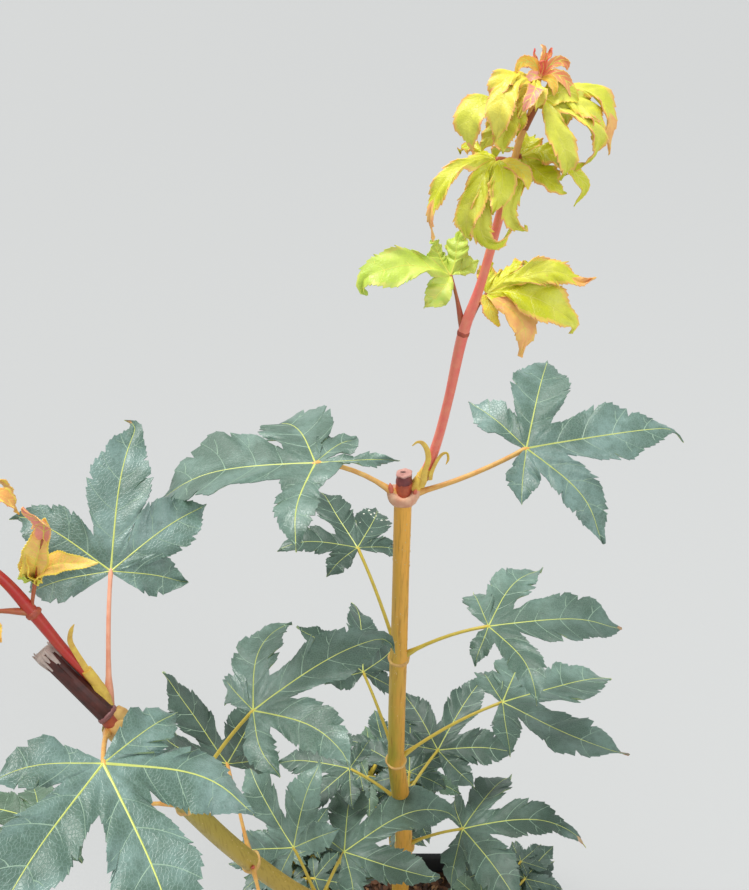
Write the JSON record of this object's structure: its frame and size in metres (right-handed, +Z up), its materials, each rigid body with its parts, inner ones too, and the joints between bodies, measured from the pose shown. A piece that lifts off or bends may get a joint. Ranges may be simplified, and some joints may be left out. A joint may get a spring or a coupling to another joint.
{
  "type": "potted korean maple",
  "caption": "Young korean maple in a square nursery pot: a straight main stem and a curved side stem, each with a red new shoot, and palmate leaves on long stalks.",
  "frame": {"origin": "middle of the pot's flat underside", "axes": "+Z up along the main stem, +X to the right and +Y away from the viewer in the picture"},
  "size_m": [0.3042, 0.2875, 0.6833],
  "materials": {
    "pot": "matte black thin-walled plastic",
    "potting_mix": "damp bark chips",
    "bark": "smooth olive-yellow to orange-brown young bark with pale pores",
    "red_shoot": "smooth coral-red new shoot",
    "leaf": "grey-green quilted leaf with yellow-green veins and a silvery sheen",
    "young_leaf": "thin yellow-green young leaf with orange and pink margins"
  },
  "bodies": {
    "root": {"pot": "pot", "potting_mix": "potting_mix", "trunk": "bark", "side_stem": "bark", "low_back_bough": "bark", "low_left_bough": "bark", "low_front_bough": "bark", "low_right_bough": "bark", "leader": "red_shoot", "side_shoot": "red_shoot", "leaf_A_right": "leaf", "leaf_A_left": "leaf", "leaf_B_left": "leaf", "leaf_B_right": "leaf", "leaf_C_left": "leaf", "leaf_C_right": "leaf", "leaf_D_right": "leaf", "leaf_D_left": "leaf", "leaf_E_right": "leaf", "leaf_E_back": "leaf", "leaf_N2_right": "leaf", "leaf_N2_left": "leaf", "leaf_N1_up": "leaf", "leaf_N1_front": "leaf", "leaf_Nm_right": "leaf", "leaf_Nm_left": "leaf", "leaf_N0_up": "leaf", "leaf_N0_front": "leaf", "low_back_leaves": "leaf", "low_left_leaves": "leaf", "low_front_leaves": "leaf", "low_right_leaves": "leaf", "leaf_leader_left": "young_leaf", "leaf_leader_right": "young_leaf", "leaf_shoot_right": "young_leaf", "leaf_shoot_left": "young_leaf", "leader_tuft": "young_leaf", "side_tuft": "young_leaf"}
  },
  "joints": []
}
